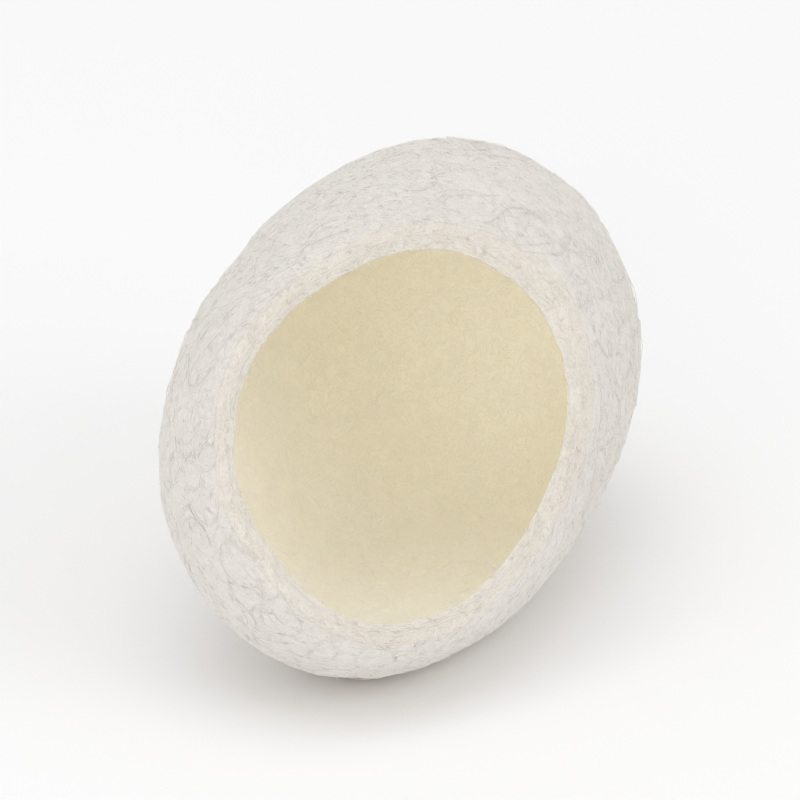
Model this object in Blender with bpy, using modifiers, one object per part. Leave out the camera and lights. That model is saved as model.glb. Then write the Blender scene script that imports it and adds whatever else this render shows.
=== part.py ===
"""Silk cocoon, cut open at one end and lying on its side.

Units are metres and +Z is up. The long axis lies along Y, with the open mouth
towards -Y. The origin is on the floor, under the middle of the cocoon's box.
"""

import math
import random

import bmesh
import bpy
from mathutils import Vector

# The whole cocoon, before its end was cut off
LENGTH = 0.0323
DIAMETER = 0.0185
MOUTH_END_FULLNESS = 2.365  # exponent of each half's outline: 2 is an ellipse, and more is blunter
CLOSED_END_FULLNESS = 2.687
OVAL = 0.044  # share of the radius that the section gains along OVAL_LEAN and loses across it
OVAL_LEAN = math.radians(-20)  # directions around the section: 0 is straight up, 90 is +X
PEAR = 0.009  # share of the radius in a three-sided unevenness
PEAR_LEAN = math.radians(46)

# Broad, shallow swells and dents of the outside
SWELL_COUNT = 12
SWELL_DEPTH = 0.00007
SHORTEST_SWELL = 0.0055
LONGEST_SWELL = 0.012
SWELL_SEED = 472

# The felted wall
WALL = 0.0008

# The slanted cut that opens the mouth
CUT_ALONG = 0.0135  # from the cocoon's middle to where the cut crosses the long axis
CUT_SLANT = math.radians(58.2)  # between the direction that the cut faces and the long axis
CUT_TURN = math.radians(48.4)  # where the cut faces, around the long axis
CUT_SPARE = 0.0008  # the wall is made this much longer than needed, and then cut
MOUTH_LEAN = math.radians(40)  # between the mouth's middle and the long axis, from the cocoon's middle

# The flat spot that it rests on
FLAT_DEPTH = 0.0007

# Fineness of the mesh
SEGMENTS = 56
RINGS = 34
HALVINGS = 30  # steps in the search for the cut along a meridian

SILK_COLOUR = (0.78, 0.76, 0.72, 1)
SILK_ROUGHNESS = 0.75


def clear_scene():
    """Remove every object of the scene."""
    for obj in list(bpy.data.objects):
        bpy.data.objects.remove(obj)


def new_collection(name):
    """Make a collection in the scene."""
    collection = bpy.data.collections.new(name)
    bpy.context.scene.collection.children.link(collection)
    return collection


def silk_material():
    """Make the matt white of degummed silk."""
    material = bpy.data.materials.new("silk")
    material.use_nodes = True
    shader = material.node_tree.nodes["Principled BSDF"]
    shader.inputs["Base Color"].default_value = SILK_COLOUR
    shader.inputs["Roughness"].default_value = SILK_ROUGHNESS
    shader.inputs["Metallic"].default_value = 0
    return material


def section_radius(around):
    """Give the widest section's radius in a direction around the long axis."""
    oval = OVAL * math.cos(2 * (around - OVAL_LEAN))
    pear = PEAR * math.cos(3 * (around - PEAR_LEAN))
    return DIAMETER / 2 * (1 + oval + pear)


def reach(direction):
    """Give the distance from the cocoon's middle to its smooth outside along a unit direction."""
    radius = section_radius(math.atan2(direction.x, direction.z))
    across = math.hypot(direction.x, direction.z) / radius
    along = -direction.y / (LENGTH / 2)
    fullness = MOUTH_END_FULLNESS if along > 0 else CLOSED_END_FULLNESS
    return (abs(along) ** fullness + across**fullness) ** (-1 / fullness)


def draw_swells():
    """Choose the waves of the uneven outside, as pairs of a wave vector and a phase."""
    chance = random.Random(SWELL_SEED)
    swells = []
    for _ in range(SWELL_COUNT):
        heading = Vector([chance.gauss(0, 1) for _ in range(3)]).normalized()
        wavelength = chance.uniform(SHORTEST_SWELL, LONGEST_SWELL)
        swells.append((heading * math.tau / wavelength, chance.uniform(0, math.tau)))
    return swells


def swell_height(point, swells):
    """Give how far the uneven outside stands above the smooth one."""
    waves = sum(math.sin(wave.dot(point) + phase) for wave, phase in swells)
    return SWELL_DEPTH * waves / math.sqrt(SWELL_COUNT)


def outside_point(direction, swells):
    """Give the point of the uneven outside along a unit direction from the cocoon's middle."""
    smooth = direction * reach(direction)
    return smooth + direction * swell_height(smooth, swells)


def facing(lean):
    """Give the direction that leans off the long axis towards where the cut faces."""
    sideways = math.sin(lean)
    return Vector((sideways * math.sin(CUT_TURN), -math.cos(lean), sideways * math.cos(CUT_TURN)))


def cut_point(spare=0.0):
    """Give the point where the cut crosses the long axis, moved outwards by a spare length."""
    return Vector((0, -CUT_ALONG, 0)) + facing(CUT_SLANT) * spare


def ray(polar, meridian):
    """Give the direction at a polar angle off the mouth's middle, on a meridian around it."""
    upright = Vector(
        (math.sin(polar) * math.cos(meridian), math.sin(polar) * math.sin(meridian), math.cos(polar))
    )
    return facing(MOUTH_LEAN).to_track_quat("Z", "Y") @ upright


def polar_at_mouth(meridian, swells):
    """Find by halving the polar angle at which a meridian of the outside reaches the mouth."""
    edge = cut_point(CUT_SPARE)
    cut_away = 0
    kept = math.pi
    for _ in range(HALVINGS):
        halfway = (cut_away + kept) / 2
        point = outside_point(ray(halfway, meridian), swells)
        if (point - edge).dot(facing(CUT_SLANT)) > 0:
            cut_away = halfway
        else:
            kept = halfway
    return kept


def shape_outside(bm):
    """Turn an upright unit sphere without its top into the outside, with the mouth at its open end."""
    swells = draw_swells()
    top_ring = math.pi / RINGS
    for vertex in bm.verts:
        meridian = math.atan2(vertex.co.y, vertex.co.x)
        share = (vertex.co.angle(Vector((0, 0, 1))) - top_ring) / (math.pi - top_ring)
        mouth = polar_at_mouth(meridian, swells)
        vertex.co = outside_point(ray(mouth + (math.pi - mouth) * share, meridian), swells)


def flatten_underside(bm):
    """Press the lowest part of the outside flat."""
    floor = min(vertex.co.z for vertex in bm.verts) + FLAT_DEPTH
    for vertex in bm.verts:
        vertex.co.z = max(vertex.co.z, floor)


def outside_mesh():
    """Make the open outer surface, left a little too long at the mouth."""
    bm = bmesh.new()
    bmesh.ops.create_uvsphere(bm, u_segments=SEGMENTS, v_segments=RINGS, radius=1)
    top = max(bm.verts, key=lambda vertex: vertex.co.z)
    bmesh.ops.delete(bm, geom=[top], context="VERTS")
    shape_outside(bm)
    flatten_underside(bm)
    mesh = bpy.data.meshes.new("cocoon")
    bm.to_mesh(mesh)
    bm.free()
    mesh.shade_smooth()
    return mesh


def make_cut(collection, parent):
    """Make the block whose lower face is the slanted cut."""
    bm = bmesh.new()
    bmesh.ops.create_cube(bm, size=LENGTH)
    mesh = bpy.data.meshes.new("mouth_cut")
    bm.to_mesh(mesh)
    bm.free()
    block = bpy.data.objects.new("mouth_cut", mesh)
    block.rotation_euler = facing(CUT_SLANT).to_track_quat("Z", "Y").to_euler()
    block.location = cut_point(LENGTH / 2)
    block.hide_render = True
    block.display_type = "WIRE"
    block.parent = parent
    collection.objects.link(block)
    return block


def make_cocoon(collection, parent, cut):
    """Make the cocoon: one felted wall, open where the cut took the end off."""
    cocoon = bpy.data.objects.new("cocoon", outside_mesh())
    cocoon.data.materials.append(silk_material())
    cocoon.parent = parent
    collection.objects.link(cocoon)
    wall = cocoon.modifiers.new("wall", "SOLIDIFY")
    wall.thickness = WALL
    wall.offset = -1
    wall.use_even_offset = True
    mouth = cocoon.modifiers.new("mouth", "BOOLEAN")
    mouth.operation = "DIFFERENCE"
    mouth.object = cut
    return cocoon


def stand_on_origin(holder, cocoon):
    """Move the holder so that the origin is under the middle of the cocoon, on the floor."""
    bpy.context.view_layer.update()
    graph = bpy.context.evaluated_depsgraph_get()
    corners = [Vector(corner) for corner in cocoon.evaluated_get(graph).bound_box]
    low = Vector([min(corner[axis] for corner in corners) for axis in range(3)])
    high = Vector([max(corner[axis] for corner in corners) for axis in range(3)])
    middle = (low + high) / 2
    holder.location = (-middle.x, -middle.y, -low.z)


def main():
    """Build the cocoon."""
    clear_scene()
    part = new_collection("silk_cocoon")
    cutters = new_collection("cutters")
    holder = bpy.data.objects.new("cocoon_middle", None)
    part.objects.link(holder)
    cut = make_cut(cutters, holder)
    cocoon = make_cocoon(part, holder, cut)
    stand_on_origin(holder, cocoon)


if __name__ == "__main__":
    main()
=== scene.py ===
"""Silk cocoon with one end cut off, lying on its flat spot in a plain pale studio.

Everything is in metres and +Z is up. The long axis lies along Y, with the open mouth towards -Y.
The wall is one closed felted shell. Its outside, its inside and its cut edge carry the silk
threads that the caterpillar laid in looping rows.
"""

import logging
import math
import random
from collections.abc import Callable
from dataclasses import dataclass, field
from enum import Enum
from functools import cache
from typing import Any

import bpy
import numpy as np
from mathutils import Matrix, Vector


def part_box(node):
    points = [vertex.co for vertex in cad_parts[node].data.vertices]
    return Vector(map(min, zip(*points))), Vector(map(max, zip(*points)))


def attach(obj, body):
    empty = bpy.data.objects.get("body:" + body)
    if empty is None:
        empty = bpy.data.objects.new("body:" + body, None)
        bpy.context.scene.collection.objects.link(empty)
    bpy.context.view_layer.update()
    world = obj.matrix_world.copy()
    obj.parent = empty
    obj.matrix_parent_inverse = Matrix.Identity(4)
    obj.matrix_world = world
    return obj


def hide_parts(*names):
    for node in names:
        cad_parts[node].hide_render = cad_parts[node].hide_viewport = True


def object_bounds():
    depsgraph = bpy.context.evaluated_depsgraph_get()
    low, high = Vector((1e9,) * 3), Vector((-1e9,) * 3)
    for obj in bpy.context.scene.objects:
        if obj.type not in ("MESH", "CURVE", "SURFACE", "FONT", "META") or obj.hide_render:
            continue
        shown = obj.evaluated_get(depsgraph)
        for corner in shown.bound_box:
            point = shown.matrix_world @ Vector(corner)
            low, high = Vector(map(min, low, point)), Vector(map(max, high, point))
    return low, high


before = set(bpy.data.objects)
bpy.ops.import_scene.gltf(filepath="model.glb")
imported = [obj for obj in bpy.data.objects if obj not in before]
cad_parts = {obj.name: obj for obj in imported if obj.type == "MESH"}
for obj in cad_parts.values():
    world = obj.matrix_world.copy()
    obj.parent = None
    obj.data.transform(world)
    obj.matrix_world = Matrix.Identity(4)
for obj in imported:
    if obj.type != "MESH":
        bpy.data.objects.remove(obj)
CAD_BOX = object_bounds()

Array = np.ndarray
Surface = Callable[[Array], Array]
Colour = tuple[float, float, float]
Rises = tuple[tuple[int, float, float], ...]  # number of rises around, height, and direction or phase

log = logging.getLogger("silk_cocoon")

COCOON_NODE = "cocoon"
ONLY_BODY = "root"
CREASE_ATTRIBUTE = "crease"
NEARLY_UPRIGHT = 0.9  # height of a unit vector above which it counts as upright
MIX_INPUTS = (0, 6, 7)  # the factor and the two colours among the Mix node's inputs
MIX_OUTPUT = 2  # the colour among its outputs


def unit(vectors: Array) -> Array:
    """Scale vectors to a length of one."""
    return vectors / np.linalg.norm(vectors, axis=-1, keepdims=True)


def square_to(vectors: Array) -> tuple[Array, Array]:
    """Find two directions square to each vector and to each other.

    Args:
        vectors: Unit vectors, along the last axis.

    Returns:
        Two arrays of unit vectors with the same shape.
    """
    upright = np.abs(vectors[..., 2:]) > NEARLY_UPRIGHT
    helper = np.where(upright, [1.0, 0.0, 0.0], [0.0, 0.0, 1.0])
    side = unit(np.cross(vectors, helper))
    return side, np.cross(vectors, side)


def turned(vectors: Array, axes: Array, angles: Array) -> Array:
    """Turn vectors that are square to their axes.

    Args:
        vectors: Vectors to turn.
        axes: Unit axes, each square to its vector.
        angles: Angles in radians, without the last axis.

    Returns:
        The turned vectors.
    """
    cosine = np.cos(angles)[..., None]
    sine = np.sin(angles)[..., None]
    return vectors * cosine + np.cross(axes, vectors) * sine


@dataclass(frozen=True)
class Waves:
    """A seeded sum of sine waves through space."""

    count: int
    shortest: float  # shortest wavelength
    longest: float  # longest wavelength
    seed: int
    height: float = 1.0  # root of twice the mean square

    def at(self, points: Array) -> Array:
        """Add up the waves at some points.

        Args:
            points: Places, along the last axis.

        Returns:
            One height for each point.
        """
        chance = random.Random(self.seed)
        total = np.zeros(points.shape[:-1])
        for _ in range(self.count):
            heading = np.array([chance.gauss(0, 1) for _ in range(3)])
            heading /= np.linalg.norm(heading)
            wavelength = chance.uniform(self.shortest, self.longest)
            phase = chance.uniform(0, math.tau)
            total += np.sin(points @ heading * (math.tau / wavelength) + phase)
        return self.height * total / math.sqrt(self.count)


@dataclass(frozen=True)
class Furrows:
    """Narrow furrows along the zero lines of a field of waves."""

    waves: Waves
    width: float  # half width, as a share of the waves' height
    depth: float

    def share(self, points: Array) -> Array:
        """Give how deep in a furrow points lie, where 1 is its bottom."""
        return np.exp(-((self.waves.at(points) / self.width) ** 2))


@dataclass(frozen=True)
class Ripple:
    """Waves that run around the mouth."""

    height: float  # of a wave whose share is one
    waves: Rises  # with shares of that height, and phases

    def at(self, meridian: Array) -> Array:
        """Add up the waves at angles around the mouth."""
        waves = (share * np.sin(rises * meridian + phase) for rises, share, phase in self.waves)
        return self.height * sum(waves)


@dataclass(frozen=True)
class CocoonForm:
    """The smooth oval and its slanted cut, measured from the whole cocoon's middle."""

    length: float = 0.0323  # before the end was cut off
    diameter: float = 0.0185  # mean of the widest section
    mouth_end_fullness: float = 2.365  # exponent of the mouth half's outline, where 2 is an ellipse
    closed_end_fullness: float = 2.687
    # Rises of the widest section, as shares of its radius, in directions from up towards +X
    section: Rises = ((2, 0.044, math.radians(-20)), (3, 0.009, math.radians(46)))
    wall: float = 0.0008
    cut_along: float = 0.0135  # where the cut crosses the long axis
    cut_slant: float = math.radians(58.2)  # between the way the cut faces and the long axis
    cut_turn: float = math.radians(48.4)  # where the cut faces, around the long axis
    cut_reach: float = 0.008  # from the mouth's middle to where the heights of cut_bends count
    cut_bends: Rises = ((2, 0.00014, math.radians(-13)), (3, 0.0001, math.radians(20)))  # out of plane
    mouth_lean: float = math.radians(40)  # between the mouth's middle and the long axis
    flat_depth: float = 0.0007  # how much of the underside is pressed flat

    def section_radius(self, around: Array) -> Array:
        """Give the widest section's radius in directions around the long axis."""
        waves = (share * np.cos(rises * (around - first)) for rises, share, first in self.section)
        return self.diameter / 2 * (1 + sum(waves))

    def smooth(self, directions: Array) -> Array:
        """Give the smooth outside's points along directions from the middle.

        Args:
            directions: Unit vectors.

        Returns:
            One point for each direction.
        """
        sideways, lengthways, upwards = np.moveaxis(directions, -1, 0)
        radius = self.section_radius(np.arctan2(sideways, upwards))
        across = np.hypot(sideways, upwards) / radius
        along = -lengthways / (self.length / 2)
        fullness = np.where(along > 0, self.mouth_end_fullness, self.closed_end_fullness)
        reach = (np.abs(along) ** fullness + across**fullness) ** (-1 / fullness)
        return directions * reach[..., None]

    def facing(self, lean: float) -> Array:
        """Give the direction that leans off the long axis towards where the cut faces."""
        sideways = np.array([math.sin(self.cut_turn), 0.0, math.cos(self.cut_turn)])
        return math.sin(lean) * sideways - np.array([0.0, math.cos(lean), 0.0])

    def beyond_cut(self, points: Array) -> Array:
        """Give how far points lie past the slanted cut, which bends a little from plane.

        Args:
            points: Places, along the last axis.

        Returns:
            Distances, above zero on the side that was taken away.
        """
        outwards = self.facing(self.cut_slant)
        pole = self.facing(self.mouth_lean)
        middle = pole * (self.cut_along * math.cos(self.cut_slant) / (pole @ outwards))
        right = np.array([math.cos(self.cut_turn), 0.0, -math.sin(self.cut_turn)])
        offset = points - middle
        rightwards = offset @ right
        upwards = offset @ np.cross(outwards, right)
        reach = np.hypot(rightwards, upwards) / self.cut_reach
        around = np.arctan2(upwards, rightwards)
        beyond = offset @ outwards
        for rises, height, first in self.cut_bends:
            beyond = beyond - height * reach**rises * np.cos(rises * (around - first))
        return beyond

    def ray(self, polar: Array, meridian: Array) -> Array:
        """Give directions at polar angles off the mouth's middle, on meridians around it.

        Args:
            polar: Angles off the mouth's middle.
            meridian: Angles around it, with the same shape.

        Returns:
            Unit vectors from the cocoon's middle.
        """
        pole = self.facing(self.mouth_lean)
        side, upwards = square_to(pole)
        around = np.cos(meridian)[..., None] * side + np.sin(meridian)[..., None] * upwards
        return np.cos(polar)[..., None] * pole + np.sin(polar)[..., None] * around


@dataclass
class Skin:
    """The wall's outside and inside, each as one point for a direction from the middle."""

    form: CocoonForm = CocoonForm()
    swells: Waves = Waves(12, 0.0055, 0.012, 472, 0.00007)  # as in the construction
    dents: Waves = Waves(24, 0.0020, 0.0042, 21, 0.00004)
    creases: Furrows = Furrows(Waves(36, 0.0011, 0.0024, 22), 0.3, 0.00005)
    crumples: Furrows = Furrows(Waves(36, 0.0007, 0.0012, 23), 0.35, 0.00002)  # between the creases
    crumple_share: float = 0.35  # share of the crumples in the shade that the finish reads
    pull: Waves = Waves(24, 0.0014, 0.0040, 24, 0.000015)  # of the smoother inside
    softness: float = 0.00012  # how gently the flat spot runs into the round side
    thread_room: float = 0.00002  # how far the flat spot stays off the floor, for the threads below it
    survey: tuple[int, int] = (121, 240)  # polar and meridian steps of the search for the lowest point
    floor: float = field(init=False)  # height of the flat spot, below the middle

    def __post_init__(self) -> None:
        """Find how low the flat spot lies."""
        polar_steps, around_steps = self.survey
        polar, around = np.meshgrid(
            np.linspace(0, math.pi, polar_steps), np.linspace(0, math.tau, around_steps)
        )
        lowest = self.swollen(self.form.ray(polar, around))[..., 2].min()
        self.floor = lowest + self.form.flat_depth

    def swollen(self, directions: Array) -> Array:
        """Give the smooth outside with its broad swells."""
        smooth = self.form.smooth(directions)
        return smooth + directions * self.swells.at(smooth)[..., None]

    def settled(self, points: Array, floor: float) -> Array:
        """Press the lowest points flat.

        Args:
            points: Points of the outside or the inside.
            floor: Height of the flat.

        Returns:
            The points, none of them below the flat.
        """
        flat = points.copy()
        flat[..., 2] = floor + self.softness * np.logaddexp(0, (points[..., 2] - floor) / self.softness)
        return flat

    def crease_shade(self, directions: Array) -> Array:
        """Give how deep in creases and crumples the outside's points lie.

        Args:
            directions: Unit vectors from the middle.

        Returns:
            Shares, where 1 is the bottom of a crease and of a crumple.
        """
        smooth = self.form.smooth(directions)
        creases = (1 - self.crumple_share) * self.creases.share(smooth)
        return creases + self.crumple_share * self.crumples.share(smooth)

    def outside(self, directions: Array) -> Array:
        """Give the finished outside: swells, dents, creases and the flat spot.

        Args:
            directions: Unit vectors from the middle.

        Returns:
            One point for each direction.
        """
        swollen = self.swollen(directions)
        smooth = self.form.smooth(directions)
        height = self.dents.at(swollen)
        for furrows in (self.creases, self.crumples):
            height = height - furrows.depth * furrows.share(smooth)
        return self.settled(swollen + directions * height[..., None], self.floor + self.thread_room)

    def plain_outside(self, directions: Array) -> Array:
        """Give the outside without dents and creases."""
        return self.settled(self.swollen(directions), self.floor)

    def plain_inside(self, directions: Array) -> Array:
        """Give the inside without its waves, one wall's thickness in from the outside."""
        inwards = self.form.wall * self.normals(self.swollen, directions)
        return self.settled(self.swollen(directions) - inwards, self.floor + self.form.wall)

    def inside(self, directions: Array) -> Array:
        """Give the finished inside, which is smoother than the outside."""
        plain = self.plain_inside(directions)
        return plain + directions * self.pull.at(plain)[..., None]

    def normals(self, surface: Surface, directions: Array, nudge: float = 0.01) -> Array:
        """Find a surface's outward normals by small steps to each side.

        Args:
            surface: Surface as a function of direction.
            directions: Unit vectors from the middle.
            nudge: Size of the steps, in radians.

        Returns:
            Unit normals that point away from the middle.
        """
        side, upwards = square_to(directions)
        across = surface(unit(directions + side * nudge)) - surface(unit(directions - side * nudge))
        along = surface(unit(directions + upwards * nudge)) - surface(unit(directions - upwards * nudge))
        normals = unit(np.cross(across, along))
        outwards = np.sign((normals * directions).sum(-1, keepdims=True))
        return normals * outwards


class WallFace(Enum):
    """The faces of the wall, with the number of the finish that each wears."""

    OUTSIDE = 0
    LIP = 1
    INSIDE = 2


def link(name: str, data: bpy.types.ID) -> bpy.types.Object:
    """Put a mesh, a lamp or a camera in the scene.

    Args:
        name: Name of the object.
        data: Mesh, lamp or camera.

    Returns:
        The object.
    """
    piece = bpy.data.objects.new(name, data)
    bpy.context.scene.collection.objects.link(piece)
    return piece


def mesh_of(name: str, points: Array, faces: list[Array]) -> bpy.types.Mesh:
    """Make a smooth mesh from groups of faces.

    Args:
        name: Name of the mesh.
        points: Places of the vertices.
        faces: Arrays of vertex numbers, one array for each number of corners.

    Returns:
        The mesh, with its faces in the order given.
    """
    corners = np.concatenate([group.ravel() for group in faces])
    sizes = np.concatenate([np.full(len(group), group.shape[1]) for group in faces])
    mesh = bpy.data.meshes.new(name)
    mesh.vertices.add(len(points))
    mesh.vertices.foreach_set("co", points.astype(np.float32).ravel())
    mesh.loops.add(len(corners))
    mesh.loops.foreach_set("vertex_index", corners.astype(np.int32))
    mesh.polygons.add(len(sizes))
    mesh.polygons.foreach_set("loop_start", (np.cumsum(sizes) - sizes).astype(np.int32))
    mesh.update(calc_edges=True)
    mesh.shade_smooth()
    return mesh


@dataclass
class Wall:
    """The felted wall as one closed mesh, from the closed end over the lip and back inside."""

    skin: Skin
    columns: int = 288  # meridians around the mouth
    outside_rings: int = 176
    inside_rings: int = 52
    outer_round: float = 0.00028  # radius of the lip's outer edge
    inner_round: float = 0.00022  # radius of its inner edge
    round_steps: int = 5  # steps around each of the two edges
    lip_steps: int = 12  # steps across the lip
    halvings: int = 32  # steps in the search for the cut
    waver: Ripple = Ripple(0.00003, ((5, 0.7, 2.1), (11, 0.6, 0.4), (23, 0.5, 1.9)))  # of a cut made by hand
    layers: float = 3.5  # of felt that show in the lip
    layer_drift: Ripple = Ripple(0.5, ((3, 1.0, 1.0), (8, 0.7, 0.0), (21, 0.4, 0.0)))  # across the lip
    layer_depth: float = 0.00003  # of the grooves between them
    grain: float = 0.5  # height of the lip's finer roughness, as a share of that depth
    outer_edge: Array = field(init=False)  # sharp, before it is rounded
    inner_edge: Array = field(init=False)  # sharp too
    lip_points: Array = field(init=False)  # by step and meridian, from the outside to the inside

    @property
    def meridian(self) -> Array:
        """Give the angles of the columns around the mouth's middle."""
        return np.linspace(0, math.tau, self.columns, endpoint=False)

    def polar_at_cut(self, surface: Surface) -> Array:
        """Find by halving where a surface's meridians reach the cut.

        Args:
            surface: Outside or inside of the wall.

        Returns:
            Polar angles off the mouth's middle.
        """
        meridian = self.meridian
        cut_away = np.zeros_like(meridian)
        kept = np.full_like(meridian, math.pi)
        waver = self.waver.at(meridian)
        for _ in range(self.halvings):
            halfway = (cut_away + kept) / 2
            points = surface(self.skin.form.ray(halfway, meridian))
            beyond = self.skin.form.beyond_cut(points) > waver
            cut_away = np.where(beyond, halfway, cut_away)
            kept = np.where(beyond, kept, halfway)
        return kept

    def side(self, plain: Surface, surface: Surface, rounding: float, count: int) -> tuple[Array, ...]:
        """Lay one side of the wall in rings, from the lip towards the closed end's pole.

        Args:
            plain: Outside or inside of the wall, without its details.
            surface: The same with its details.
            rounding: Radius of the lip's edge on this side.
            count: Number of rings, without the pole.

        Returns:
            The lip's sharp edge, and the rings' directions and points by ring and meridian.
        """
        polar = self.polar_at_cut(plain)
        edge = plain(self.skin.form.ray(polar, self.meridian))
        start = polar + rounding / np.linalg.norm(edge, axis=-1)
        rings = start + (math.pi - start) * np.linspace(0, 1, count + 1)[:-1, None]
        directions = self.skin.form.ray(rings, np.broadcast_to(self.meridian, rings.shape))
        return edge, directions, surface(directions)

    def bend(self, start: Array, corner: Array, end: Array) -> Array:
        """Round a corner with a curve from start to end, without the two ends."""
        steps = np.linspace(0, 1, self.round_steps + 1)[1:-1, None, None]
        return (1 - steps) ** 2 * start + 2 * steps * (1 - steps) * corner + steps**2 * end

    def lip(self, first_outside: Array, first_inside: Array) -> Array:
        """Make the cut edge, rounded on both sides, with the grooves between its layers.

        Args:
            first_outside: Outside ring next to the lip.
            first_inside: Inside ring next to the lip.

        Returns:
            The lip's points by step and meridian, from the outside to the inside.
        """
        across = unit(self.inner_edge - self.outer_edge)
        start = self.outer_edge + across * self.outer_round
        end = self.inner_edge - across * self.inner_round
        steps = np.linspace(0, 1, self.lip_steps + 1)[:, None]
        flat = start + (end - start) * steps[..., None]
        groove = np.abs(np.sin(math.pi * (self.layers * steps + self.layer_drift.at(self.meridian))))
        fade = np.sqrt(np.sin(math.pi * steps))
        rough = self.grain * self.skin.crumples.waves.at(flat)
        height = self.layer_depth * fade * (groove + rough)
        raised = flat + self.skin.form.facing(self.skin.form.cut_slant) * height[..., None]
        outer = self.bend(first_outside, self.outer_edge, raised[0])
        inner = self.bend(raised[-1], self.inner_edge, first_inside)
        return np.concatenate([outer, raised, inner])

    def build(self) -> bpy.types.Mesh:
        """Build the closed wall.

        Returns:
            The mesh around the cocoon's middle, with its finish numbers and crease depths.
        """
        skin = self.skin
        self.outer_edge, directions, outside = self.side(
            skin.plain_outside, skin.outside, self.outer_round, self.outside_rings
        )
        self.inner_edge, _, inside = self.side(
            skin.plain_inside, skin.inside, self.inner_round, self.inside_rings
        )
        self.lip_points = self.lip(outside[0], inside[0])
        rows = np.concatenate([outside[::-1], self.lip_points, inside])
        pole = skin.form.ray(np.array([math.pi]), np.array([0.0]))
        points = np.concatenate([rows.reshape(-1, 3), skin.outside(pole), skin.inside(pole)])
        mesh = mesh_of(COCOON_NODE, points, self.faces(len(rows)))
        self.number_finishes(mesh, len(self.lip_points))
        self.store_creases(mesh, directions[::-1], len(points))
        return mesh

    def faces(self, row_count: int) -> list[Array]:
        """Join the rows with quads and close both poles with triangles.

        Args:
            row_count: Number of rows of points.

        Returns:
            The quads, row by row, and then the two poles' triangles.
        """
        column = np.arange(self.columns)
        after = (column + 1) % self.columns
        base = np.arange(row_count - 1)[:, None] * self.columns
        below = base + self.columns
        quads = np.stack([base + column, base + after, below + after, below + column], -1)
        last = (row_count - 1) * self.columns
        outer_pole = np.full(self.columns, row_count * self.columns)
        outer_fan = np.stack([outer_pole, after, column], -1)
        inner_fan = np.stack([outer_pole + 1, last + column, last + after], -1)
        return [quads.reshape(-1, 4), np.concatenate([outer_fan, inner_fan])]

    def number_finishes(self, mesh: bpy.types.Mesh, lip_rows: int) -> None:
        """Give each face the number of its finish.

        Args:
            mesh: Mesh of the wall.
            lip_rows: Number of rows of points in the lip.
        """
        outside = [WallFace.OUTSIDE] * (self.outside_rings - 1)
        lip = [WallFace.LIP] * (lip_rows + 1)
        inside = [WallFace.INSIDE] * (self.inside_rings - 1)
        rows = [*outside, *lip, *inside, WallFace.OUTSIDE, WallFace.INSIDE]
        numbers = np.repeat([row.value for row in rows], self.columns)
        mesh.polygons.foreach_set("material_index", numbers.astype(np.int32))

    def store_creases(self, mesh: bpy.types.Mesh, directions: Array, count: int) -> None:
        """Store how deep in a crease each vertex of the outside lies.

        Args:
            mesh: Mesh of the wall.
            directions: Directions of the outside's points, in the order of the vertices.
            count: Number of vertices.
        """
        outside = self.skin.crease_shade(directions).ravel()
        shade = np.zeros(count, np.float32)
        shade[: outside.size] = outside
        attribute = mesh.attributes.new(CREASE_ATTRIBUTE, "FLOAT", "POINT")
        attribute.data.foreach_set("value", shade)


@dataclass(frozen=True)
class Link:
    """A socket of a node, on which sums and products add Math nodes."""

    shader: "Shader"  # material that the socket is in
    socket: bpy.types.NodeSocket  # output of a node

    def _math(self, operation: str, *values: "Link | float") -> "Link":
        """Add a Math node on these values."""
        return self.shader.node("ShaderNodeMath", {"operation": operation}, dict(enumerate(values)))

    def __add__(self, other: "Link | float") -> "Link":
        """Add a value or a link."""
        return self._math("ADD", self, other)

    def __radd__(self, other: "Link | float") -> "Link":
        """Add this to a number."""
        return self._math("ADD", other, self)

    def __sub__(self, other: "Link | float") -> "Link":
        """Subtract a value or a link."""
        return self._math("SUBTRACT", self, other)

    def __rsub__(self, other: "Link | float") -> "Link":
        """Subtract this from a number."""
        return self._math("SUBTRACT", other, self)

    def __mul__(self, other: "Link | float") -> "Link":
        """Multiply by a value or a link."""
        return self._math("MULTIPLY", self, other)

    def __rmul__(self, other: "Link | float") -> "Link":
        """Multiply a number by this."""
        return self._math("MULTIPLY", other, self)


Value = Link | tuple[float, ...] | float


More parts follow.
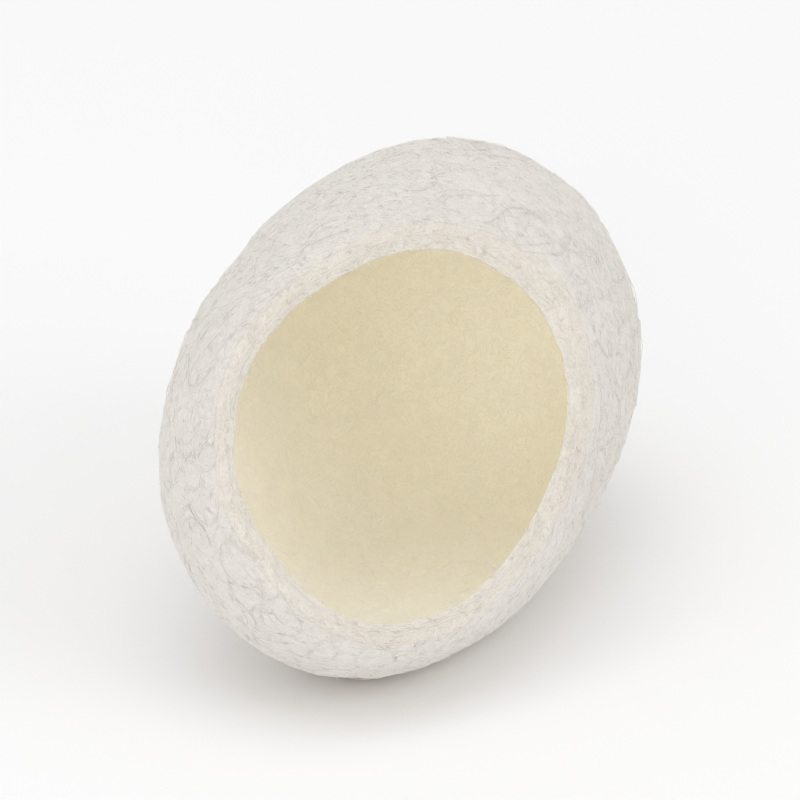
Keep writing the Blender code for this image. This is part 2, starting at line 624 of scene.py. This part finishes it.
class Shader:
    """One material with its nodes."""

    def __init__(self, name: str) -> None:
        """Start a material with a Principled BSDF.

        Args:
            name: Name of the material.
        """
        self.material = bpy.data.materials.new(name)
        self.material.use_nodes = True
        self.tree = self.material.node_tree
        self.surface = self.tree.nodes["Principled BSDF"]

    def plug(self, socket: bpy.types.NodeSocket, value: Value) -> None:
        """Set a socket to a value, or link it.

        Args:
            socket: Input of a node.
            value: Number, colour or link.
        """
        if isinstance(value, Link):
            self.tree.links.new(value.socket, socket)
        elif isinstance(value, tuple) and len(value) == 3 and socket.type == "RGBA":
            socket.default_value = (*value, 1)
        else:
            socket.default_value = value

    def node(
        self,
        kind: str,
        settings: dict[str, Any] | None = None,
        sockets: dict[str | int, Value] | None = None,
        out: str | int = 0,
    ) -> Link:
        """Add a node.

        Args:
            kind: Type of the node.
            settings: Its settings by name.
            sockets: Values or links of its inputs, by name or number.
            out: Name or number of the output to use.

        Returns:
            The output.
        """
        node = self.tree.nodes.new(kind)
        for name, value in (settings or {}).items():
            setattr(node, name, value)
        for key, value in (sockets or {}).items():
            self.plug(node.inputs[key], value)
        return Link(self, node.outputs[out])

    def noise(self, place: Link, size: float, detail: float = 2.0) -> Link:
        """Add noise around one half, with lumps of a size in metres."""
        sockets = {"Vector": place, "Scale": 1 / size, "Detail": detail}
        return self.node("ShaderNodeTexNoise", {"noise_dimensions": "3D"}, sockets)

    def tangle(
        self, place: Link, size: float, lines: float, sheet: float, roughness: float = 0.4
    ) -> Link:
        """Add thin curving ridges that follow one another, like matted threads.

        Args:
            place: Coordinates.
            size: Size of the curves, in metres.
            lines: How closely the ridges follow one another.
            sheet: Number of the sheet, so that each one differs.
            roughness: Strength of the finer curves.

        Returns:
            Height between 0 and 1.
        """
        sockets = {"Vector": place, "W": sheet, "Scale": 1 / size, "Detail": 1.0, "Roughness": roughness}
        bends = self.node("ShaderNodeTexNoise", {"noise_dimensions": "4D"}, sockets)
        return 2 * self.node("ShaderNodeMath", {"operation": "PINGPONG"}, {0: bends * lines, 1: 0.5})

    def place(self) -> Link:
        """Read the place on the piece, in metres."""
        return self.node("ShaderNodeTexCoord", out="Object")

    def stored(self, name: str) -> Link:
        """Read a number that the mesh stores for each vertex."""
        return self.node("ShaderNodeAttribute", {"attribute_name": name}, out="Fac")

    def mix(self, share: Value, first: Value, second: Value) -> Link:
        """Mix two colours by the share of the second."""
        sockets = dict(zip(MIX_INPUTS, (share, first, second), strict=True))
        return self.node("ShaderNodeMix", {"data_type": "RGBA"}, sockets, out=MIX_OUTPUT)

    def finish(self, **sockets: Value) -> bpy.types.Material:
        """Set the Principled BSDF's sockets.

        Args:
            **sockets: Values or links by the sockets' names, with _ for a space.

        Returns:
            The finished material.
        """
        for name, value in sockets.items():
            self.plug(self.surface.inputs[name.replace("_", " ")], value)
        return self.material


@dataclass(frozen=True, kw_only=True)
class ThreadFinish:
    """The silk of single threads, a little glossier than the felt."""

    name: str
    pale: Colour  # of the palest patches
    warm: Colour  # of the warmest patches
    patch: float = 0.0015  # size of the patches
    patch_detail: float = 2.0  # number of finer layers of patches
    contrast: float = 1.6  # how far the patches are told apart
    roughness: float = 0.6
    sheen: float = 0.1  # strength of the soft sheen of fine fibres

    def tones(self, shader: Shader) -> Link:
        """Mix the pale and the warm colour in patches.

        Args:
            shader: Material that they are for.

        Returns:
            The mixed colour.
        """
        patches = shader.noise(shader.place(), self.patch, self.patch_detail)
        share = patches * self.contrast - (self.contrast - 1) / 2
        return shader.mix(share, self.pale, self.warm)

    @cache
    def material(self) -> bpy.types.Material:
        """Make the material, once."""
        shader = Shader(self.name)
        return shader.finish(Base_Color=self.tones(shader), Roughness=self.roughness, Sheen_Weight=self.sheen)


@dataclass(frozen=True, kw_only=True)
class FeltFinish(ThreadFinish):
    """Matt felted silk, with the ridges of its matted threads in two sheets, and painted shade in its creases
    and between its threads.
    """

    painted_shade: Colour  # painted shade, at the bottom of the creases and in the gaps between the threads
    crease_shade_share: float = 0.5  # share of that painted shade in a crease
    curve: float = 0.0007  # size of the curves of the matted threads
    upper_curve: float = 0.8  # the same in the upper sheet, as a share of the lower one's
    sheets: tuple[float, float] = (0.0, 7.0)  # numbers of the two sheets
    lines: float = 13.0  # how closely the threads follow one another
    thread_depth: float = 0.000022  # height of the ridges
    roughness_spread: float = 0.16
    glow: float = 0.15  # share of the light that goes into the silk
    glow_depth: Colour = (0.00050, 0.00042, 0.00030)  # how far it goes, for red, green and blue
    sheen_roughness: float = 0.6
    patch: float = 0.0028
    patch_detail: float = 3.0
    roughness: float = 0.72
    sheen: float = 0.12

    def material(self) -> bpy.types.Material:
        """Make the material, with bump from the matted threads.

        Returns:
            The material, which reads the depth of the creases from the mesh and paints shade in them and
            between the threads.
        """
        shader = Shader(self.name)
        place = shader.place()
        lower = shader.tangle(place, self.curve, self.lines, self.sheets[0])
        upper = shader.tangle(place, self.curve * self.upper_curve, self.lines, self.sheets[1])
        threads = shader.node("ShaderNodeMath", {"operation": "MAXIMUM"}, {0: lower, 1: upper})
        gaps = 1 - threads
        # Painted shade: darker in the creases and in the gaps between the matted threads.
        shade = shader.stored(CREASE_ATTRIBUTE) * self.crease_shade_share + gaps * gaps
        bump = {"Strength": 1.0, "Distance": self.thread_depth, "Height": threads}
        return shader.finish(
            Base_Color=shader.mix(shade, self.tones(shader), self.painted_shade),
            Roughness=self.roughness + self.roughness_spread / 2 - threads * self.roughness_spread,
            Normal=shader.node("ShaderNodeBump", {}, bump),
            Subsurface_Weight=self.glow,
            Subsurface_Radius=self.glow_depth,
            Subsurface_Scale=1.0,
            Sheen_Weight=self.sheen,
            Sheen_Roughness=self.sheen_roughness,
        )


# The outside and lip felts are a little darker than the threads that lie on them: painted shade between the
# threads.
OUTSIDE_SILK = FeltFinish(
    name="silk_outside",
    pale=(0.825, 0.785, 0.75), warm=(0.805, 0.765, 0.705), painted_shade=(0.74, 0.695, 0.635),
)
LIP_SILK = FeltFinish(
    name="silk_lip",
    pale=(0.79, 0.74, 0.675), warm=(0.77, 0.72, 0.645), painted_shade=(0.66, 0.60, 0.515),
)
# Paler than the outside: the cream tint is the silk's own, and the extra brightness is painted light that
# stands in for light shining through the thin wall into the hollow.
INSIDE_SILK = FeltFinish(
    name="silk_inside", thread_depth=0.000018,
    pale=(0.985, 0.968, 0.905), warm=(0.975, 0.953, 0.875), painted_shade=(0.92, 0.865, 0.745),
)
OUTSIDE_THREADS = ThreadFinish(
    name="silk_threads_outside", pale=(0.855, 0.82, 0.78), warm=(0.825, 0.79, 0.74)
)
LIP_THREADS = ThreadFinish(
    name="silk_threads_lip", pale=(0.84, 0.80, 0.735), warm=(0.81, 0.76, 0.685)
)
# Paler than the outside threads for the same reason: the cream tint is the silk's own, the extra brightness
# is painted light from through the wall.
INSIDE_THREADS = ThreadFinish(
    name="silk_threads_inside", pale=(0.98, 0.96, 0.90), warm=(0.965, 0.94, 0.86)
)


@dataclass(frozen=True)
class Strand:
    """The cross-section of a silk strand, a low three-sided bar with pointed ends."""

    width: float  # on the surface
    height: float
    sunk: float = 0.35  # share of the height below the surface
    tip: float = 0.35  # width of the ends, as a share
    spread: float = 0.25  # how much the widths differ, as a share

    @property
    def reach(self) -> float:
        """Give how far the thickest strand reaches from its path."""
        return self.height * (1 + self.spread) * max(self.sunk, 1 - self.sunk)

    def lay(self, name: str, paths: Array, normals: Array, kept: Array, seed: int) -> bpy.types.Mesh:
        """Lay a closed bar along each path, one run of kept points in each.

        Args:
            name: Name of the mesh.
            paths: Places by strand and step.
            normals: Directions away from the surface, by strand and step.
            kept: True for the steps of each strand's run.
            seed: Seed of the strands' widths.

        Returns:
            One mesh of all the strands.
        """
        chance = np.random.default_rng(seed)
        scale = 1 + self.spread * chance.uniform(-1, 1, (len(paths), 1, 1))
        first, last = self.ends(kept)
        scale = scale * np.where(first | last, self.tip, 1.0)[..., None]
        sideways = unit(np.cross(np.gradient(paths, axis=1), normals)) * (self.width / 2) * scale
        low = paths - normals * self.height * self.sunk * scale
        high = paths + normals * self.height * (1 - self.sunk) * scale
        corners = np.stack([low - sideways, low + sideways, high], axis=2)
        each = corners.shape[2]
        number = (np.cumsum(kept).reshape(kept.shape) - 1) * each
        base = number[kept & ~last]
        sides = [
            np.stack([base + a, base + b, base + b + each, base + a + each], -1)
            for a, b in ((0, 1), (1, 2), (2, 0))
        ]
        start = number[first]
        end = number[last]
        caps = [np.stack([start + 2, start + 1, start], -1), np.stack([end, end + 1, end + 2], -1)]
        quads = np.concatenate(sides)[:, ::-1]
        return mesh_of(name, corners[kept].reshape(-1, 3), [quads, np.concatenate(caps)[:, ::-1]])

    @staticmethod
    def ends(kept: Array) -> tuple[Array, Array]:
        """Mark the first and the last kept step of each strand.

        Args:
            kept: True for the steps of each strand's run.

        Returns:
            Two arrays like kept, true for the first steps and for the last ones.
        """
        before = np.pad(kept, ((0, 0), (1, 0)))[:, :-1]
        after = np.pad(kept, ((0, 0), (0, 1)))[:, 1:]
        return kept & ~before, kept & ~after


@dataclass(kw_only=True)
class Fibres:
    """Fibres of one kind, which make one piece."""

    name: str
    count: int
    steps: int  # points along a fibre
    strand: Strand
    seed: int
    finish: ThreadFinish = OUTSIDE_THREADS

    def build(self) -> bpy.types.Mesh:
        """Build the fibres as one mesh around the cocoon's middle."""
        raise NotImplementedError


@dataclass(kw_only=True)
class ThreadLayer(Fibres):
    """Silk threads in looping rows, as the caterpillar's nodding head lays them."""

    skin: Skin
    face: WallFace = WallFace.OUTSIDE  # that they lie on
    step: float = 0.00023  # distance between points
    swing: float = 1.9  # how far the heading swings to each side, in radians
    loop: tuple[float, float] = (0.008, 0.014)  # length of thread in one double loop
    wander: float = 60.0  # how much the rows turn, in radians a metre
    lift: float = 0.0  # mean height above the surface
    rise: float = 0.000012  # how far a thread rises and sinks along its way
    span: tuple[float, float] = (0.0008, 0.0025)  # length of one rise and fall
    margin: float = 0.00012  # how far from the cut the threads end
    fewest: int = 4  # points of a thread that is kept

    def walk(self) -> tuple[Array, Array]:
        """Walk all threads over the smooth form, step by step.

        Returns:
            Directions from the middle and outward normals, each by thread and step.
        """
        form = self.skin.form
        chance = np.random.default_rng(self.seed)
        places = form.smooth(unit(chance.normal(size=(self.count, 3))))
        normals = self.skin.normals(form.smooth, unit(places))
        headings = turned(square_to(normals)[0], normals, chance.uniform(0, math.tau, self.count))
        loops = chance.uniform(*self.loop, self.count)
        phases = chance.uniform(0, math.tau, self.count)
        bends = chance.normal(0, self.wander, self.count)
        trail = []
        for index in range(self.steps):
            trail.append((unit(places), normals))
            swing = self.swing * np.sin(math.tau * index * self.step / loops + phases)
            places = places + turned(headings, normals, swing) * self.step
            places = form.smooth(unit(places))
            normals = self.skin.normals(form.smooth, unit(places))
            flat = headings - normals * (headings * normals).sum(-1, keepdims=True)
            headings = turned(unit(flat), normals, bends * self.step)
        directions, ups = zip(*trail, strict=True)
        return np.stack(directions, axis=1), np.stack(ups, axis=1)

    def first_run(self, points: Array) -> Array:
        """Mark each thread's first run of points on the kept side of the cut.

        Args:
            points: Places by thread and step.

        Returns:
            True for the points of the run, unless there are too few.
        """
        kept = self.skin.form.beyond_cut(points) < -self.margin
        starts, _ = self.strand.ends(kept)
        run = kept & (np.cumsum(starts, axis=1) == 1)
        return run & (run.sum(1, keepdims=True) >= self.fewest)

    def build(self) -> bpy.types.Mesh:
        """Build the layer, which follows the face of the wall.

        Returns:
            The threads as one mesh around the cocoon's middle.
        """
        directions, normals = self.walk()
        chance = np.random.default_rng(self.seed + 1)
        travelled = np.arange(self.steps) * self.step
        spans = chance.uniform(*self.span, (self.count, 1))
        turns = chance.uniform(0, math.tau, (self.count, 1))
        heights = self.lift + self.rise * np.sin(math.tau * travelled / spans + turns)
        heights = heights + self.rise * chance.uniform(-1, 1, (self.count, 1))
        inside = self.face is WallFace.INSIDE
        away = -normals if inside else normals
        surface = self.skin.inside(directions) if inside else self.skin.outside(directions)
        paths = surface + away * heights[..., None]
        paths[..., 2] = np.maximum(paths[..., 2], self.skin.floor + self.strand.reach)
        return self.strand.lay(self.name, paths, away, self.first_run(surface), self.seed + 2)


@dataclass(kw_only=True)
class LipThreads(Fibres):
    """Threads of the felt's layers, which run along the cut edge."""

    wall: Wall
    name: str = "lip_threads"
    count: int = 620
    steps: int = 26
    strand: Strand = Strand(0.000045, 0.00003, sunk=0.4)
    seed: int = 61
    finish: ThreadFinish = LIP_THREADS
    step: float = 0.00014  # distance between points
    drift: float = 0.14  # how far a thread wanders across the lip, as a share of its width
    waves: tuple[float, float] = (0.4, 1.4)  # of that wandering, along a full thread
    shortest: float = 0.3  # length of the shortest thread, as a share of the steps
    depths: tuple[float, float] = (-0.000016, 0.000012)  # from the lip's surface

    def build(self) -> bpy.types.Mesh:
        """Build the threads, each at its own depth.

        Returns:
            The threads as one mesh around the cocoon's middle.
        """
        chance = np.random.default_rng(self.seed)
        each = (self.count, 1)
        face = self.wall.lip_points
        rows, columns = face.shape[:2]
        spacing = np.linalg.norm(np.roll(face[0], -1, axis=0) - face[0], axis=-1).mean()
        travelled = np.arange(self.steps)
        column = chance.uniform(0, columns, each) + travelled * self.step / spacing
        turns = math.tau * chance.uniform(*self.waves, each) * travelled / self.steps
        wander = self.drift * np.sin(turns + chance.uniform(0, math.tau, each))
        across = np.clip(chance.uniform(0, 1, each) + wander, 0, 1) * (rows - 1)
        out = unit(self.sample(self.lip_normals(face), across, column))
        paths = self.sample(face, across, column) + out * chance.uniform(*self.depths, (*each, 1))
        kept = travelled < chance.uniform(self.shortest, 1, each) * self.steps
        return self.strand.lay(self.name, paths, out, kept, self.seed + 1)

    @staticmethod
    def lip_normals(face: Array) -> Array:
        """Find the directions away from the lip's surface, at each of its points."""
        onwards = np.roll(face, -1, axis=1) - np.roll(face, 1, axis=1)
        return unit(np.cross(onwards, np.gradient(face, axis=0)))

    @staticmethod
    def sample(grid: Array, row: Array, column: Array) -> Array:
        """Read a grid between its points.

        Args:
            grid: Vectors by row and column, closed in the columns.
            row: Rows, with fractions.
            column: Columns, with fractions.

        Returns:
            A vector for each pair of row and column.
        """
        upper = np.clip(np.floor(row).astype(int), 0, len(grid) - 2)
        left = np.floor(column).astype(int)
        down = (row - upper)[..., None]
        right = (column - left)[..., None]
        left, after = left % grid.shape[1], (left + 1) % grid.shape[1]
        above, below = (
            grid[line, left] * (1 - right) + grid[line, after] * right for line in (upper, upper + 1)
        )
        return above * (1 - down) + below * down


@dataclass(kw_only=True)
class LipFuzz(Fibres):
    """Short cut ends of silk that stand out of the lip."""

    wall: Wall
    name: str = "lip_fuzz"
    count: int = 700
    steps: int = 6
    strand: Strand = Strand(0.000034, 0.000028, tip=0.2)
    seed: int = 51
    finish: ThreadFinish = LIP_THREADS
    across: tuple[float, float] = (0.08, 0.92)  # from the lip's outer edge to its inner one
    lean: float = 0.7  # how far they lean, as a share of their length
    level: float = 0.5  # share of the lean straight out of the lip that is taken off
    length: tuple[float, float] = (0.00012, 0.00045)
    trim: float = 0.4  # shortest share of its length that an end is cut down to
    curl: float = 0.4  # how far an end bends over, as a share of its length
    sunk: float = 0.00004  # how deep the ends are rooted

    def build(self) -> bpy.types.Mesh:
        """Build the ends, which lean every way out of the lip.

        Returns:
            The ends as one mesh around the cocoon's middle.
        """
        chance = np.random.default_rng(self.seed)
        each = (self.count, 1)
        wall = self.wall
        column = chance.integers(0, wall.columns, self.count)
        across = chance.uniform(*self.across, each)
        roots = wall.outer_edge[column] * (1 - across) + wall.inner_edge[column] * across
        after = wall.outer_edge[(column + 1) % wall.columns]
        roots = roots + (after - wall.outer_edge[column]) * chance.uniform(0, 1, each)
        form = wall.skin.form
        out = np.broadcast_to(form.facing(form.cut_slant), roots.shape)
        lean = chance.normal(0, self.lean, roots.shape)
        heading = unit(out + lean - out * (lean * out).sum(-1, keepdims=True) * self.level)
        droop = chance.normal(0, self.curl, roots.shape)
        length = chance.uniform(*self.length, each) * chance.uniform(self.trim, 1, each)
        shares = np.linspace(0, 1, self.steps)[:, None]
        bends = heading[:, None] * shares + droop[:, None] * shares**2
        paths = (roots - out * self.sunk)[:, None] + length[:, None] * bends
        normals = np.broadcast_to(square_to(heading)[0][:, None], paths.shape)
        kept = np.ones(paths.shape[:2], bool)
        return self.strand.lay(self.name, paths, normals, kept, self.seed + 1)


@dataclass
class Cocoon:
    """The whole cocoon: the felted wall, the threads on both faces and the fuzz of the lip."""

    skin: Skin = field(default_factory=Skin)
    outside_seeds: tuple[int, ...] = (100, 110, 120, 130)  # one for each layer of threads
    outside_strand: Strand = Strand(0.000050, 0.000030)
    inside_strand: Strand = Strand(0.000040, 0.000018, sunk=0.5)
    floss_strand: Strand = Strand(0.000032, 0.000026, sunk=0.5)
    seat: Matrix = field(default_factory=Matrix)  # move from around the middle to where the construction is

    def seated(
        self, mesh: bpy.types.Mesh, name: str, materials: list[bpy.types.Material]
    ) -> bpy.types.Object:
        """Place a mesh where the construction has the cocoon, and dress it.

        Args:
            mesh: Mesh around the cocoon's middle.
            name: Name of the piece.
            materials: Its finishes, in the order of their numbers.

        Returns:
            The piece, riding on the only body.
        """
        mesh.transform(self.seat)
        for material in materials:
            mesh.materials.append(material)
        piece = link(name, mesh)
        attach(piece, ONLY_BODY)
        log.info("%s: %d triangles", name, sum(len(face.vertices) - 2 for face in mesh.polygons))
        return piece

    def find_seat(self, mesh: bpy.types.Mesh) -> None:
        """Find the move that sets the wall in the middle of the construction's box, on its floor.

        Args:
            mesh: Mesh of the wall around the cocoon's middle.
        """
        places = np.array([vertex.co for vertex in mesh.vertices])
        low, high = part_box(COCOON_NODE)
        middle = (np.array(low) + np.array(high)) / 2 - (places.min(0) + places.max(0)) / 2
        self.seat = Matrix.Translation((middle[0], middle[1], low.z - self.skin.floor))

    def fibres(self, wall: Wall) -> list[Fibres]:
        """List the pieces of fibres.

        Args:
            wall: Wall that they lie on.

        Returns:
            The layers of threads, the loose floss and the threads and ends of the lip.
        """
        outside = [
            ThreadLayer(
                name=f"outside_threads_{number}", skin=self.skin, count=360, steps=90,
                strand=self.outside_strand, seed=seed,
            )
            for number, seed in enumerate(self.outside_seeds, start=1)
        ]
        inside = ThreadLayer(
            name="inside_threads", skin=self.skin, face=WallFace.INSIDE, count=300, steps=90,
            strand=self.inside_strand, seed=200, rise=0.000004, finish=INSIDE_THREADS,
        )
        floss = ThreadLayer(
            name="loose_floss", skin=self.skin, count=60, steps=70,
            strand=self.floss_strand, seed=300, lift=0.00005, rise=0.00005, span=(0.003, 0.008),
        )
        return [*outside, inside, floss, LipThreads(wall=wall), LipFuzz(wall=wall)]

    def build(self) -> None:
        """Build and dress every piece."""
        wall = Wall(self.skin)
        mesh = wall.build()
        self.find_seat(mesh)
        finishes = (OUTSIDE_SILK, LIP_SILK, INSIDE_SILK)
        shell = self.seated(mesh, "felted_wall", [finish.material() for finish in finishes])
        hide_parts(COCOON_NODE)
        for fibres in self.fibres(wall):
            self.seated(fibres.build(), fibres.name, [fibres.finish.material()])


@dataclass(frozen=True)
class Stand:
    """Where a lamp or the camera stands, facing the cocoon."""

    name: str
    azimuth: float  # in degrees, where 0 is -Y and 90 is +X
    elevation: float  # in degrees above the horizon
    distance: float  # from the cocoon

    def hold(self, data: bpy.types.ID, target: Vector) -> bpy.types.Object:
        """Put a lamp or a camera in the scene.

        Args:
            data: Lamp or camera.
            target: Middle of the cocoon.

        Returns:
            The object that holds it.
        """
        turn = math.radians(self.azimuth)
        rise = math.radians(self.elevation)
        level = math.cos(rise)
        back = Vector((math.sin(turn) * level, -math.cos(turn) * level, math.sin(rise)))
        held = link(self.name, data)
        held.location = target + back * self.distance
        held.rotation_euler = back.to_track_quat("Z", "Y").to_euler()
        return held


@dataclass(frozen=True)
class SoftLight(Stand):
    """A large soft lamp."""

    size: float  # width of its square face
    power: float  # in watts

    def hang(self, target: Vector) -> None:
        """Put the lamp in the scene.

        Args:
            target: Middle of the cocoon.
        """
        data = bpy.data.lights.new(self.name, "AREA")
        data.size = self.size
        data.energy = self.power
        self.hold(data, target)


@dataclass
class Studio:
    """A plain pale floor, soft light and the camera."""

    camera: Stand = Stand("camera", 16.1, 23.1, 0.570)
    lens: float = 600.0  # focal length, in millimetres
    nearest: float = 0.01  # nearest distance that the camera sees
    floor_size: float = 4.0  # radius
    floor_corners: int = 96  # of its round edge
    floor_colour: Colour = (0.95, 0.95, 0.95)
    floor_patch: float = 0.4  # size of its faintly darker patches
    floor_tint: float = 0.99  # brightness of those patches, as a share
    floor_roughness: float = 0.9
    sky: float = 0.77  # brightness of the surroundings
    bounces: int = 24  # of light, which brighten the hollow
    lights: tuple[SoftLight, ...] = (
        SoftLight("key", -20, 78, 0.6, 0.45, 0.65),
        SoftLight("left", -35, 25, 0.8, 0.5, 0.3),
        SoftLight("front", 4, 17, 0.9, 0.4, 0.9),
        SoftLight("right", 70, 30, 0.8, 0.5, 0.9),
    )

    def lay_floor(self) -> None:
        """Lay a round floor with a faintly uneven matt finish."""
        turns = np.linspace(0, math.tau, self.floor_corners, endpoint=False)
        edge = np.stack([np.cos(turns), np.sin(turns), np.zeros_like(turns)], -1) * self.floor_size
        mesh = mesh_of("floor", edge, [np.arange(self.floor_corners)[None]])
        shader = Shader("pale_floor")
        tint = shader.noise(shader.place(), self.floor_patch)
        darker = tuple(channel * self.floor_tint for channel in self.floor_colour)
        colour = shader.mix(tint, self.floor_colour, darker)
        mesh.materials.append(shader.finish(Base_Color=colour, Roughness=self.floor_roughness))
        link("floor", mesh)

    def light(self, target: Vector) -> None:
        """Light the scene from all round, and with the soft lamps.

        Args:
            target: Middle of the cocoon.
        """
        world = bpy.data.worlds.new("studio")
        world.use_nodes = True
        background = world.node_tree.nodes["Background"]
        background.inputs["Color"].default_value = (1, 1, 1, 1)
        background.inputs["Strength"].default_value = self.sky
        bpy.context.scene.world = world
        for lamp in self.lights:
            lamp.hang(target)

    def set_camera(self, target: Vector) -> None:
        """Stand the camera so that it looks down into the open mouth.

        Args:
            target: Middle of the cocoon.
        """
        data = bpy.data.cameras.new("camera")
        data.lens = self.lens
        data.clip_start = self.nearest
        bpy.context.scene.camera = self.camera.hold(data, target)

    def build(self) -> None:
        """Set up the studio around the cocoon."""
        low, high = CAD_BOX
        target = (low + high) / 2
        self.lay_floor()
        self.light(target)
        self.set_camera(target)
        scene = bpy.context.scene
        scene.view_settings.view_transform = "Standard"
        scene.cycles.max_bounces = self.bounces
        scene.cycles.diffuse_bounces = self.bounces
        log.info("studio: %d lamps", len(self.lights))


def main() -> None:
    """Build the cocoon and the studio."""
    logging.basicConfig(level=logging.INFO, format="%(name)s: %(message)s")
    Cocoon().build()
    Studio().build()


if __name__ == "__main__":
    main()
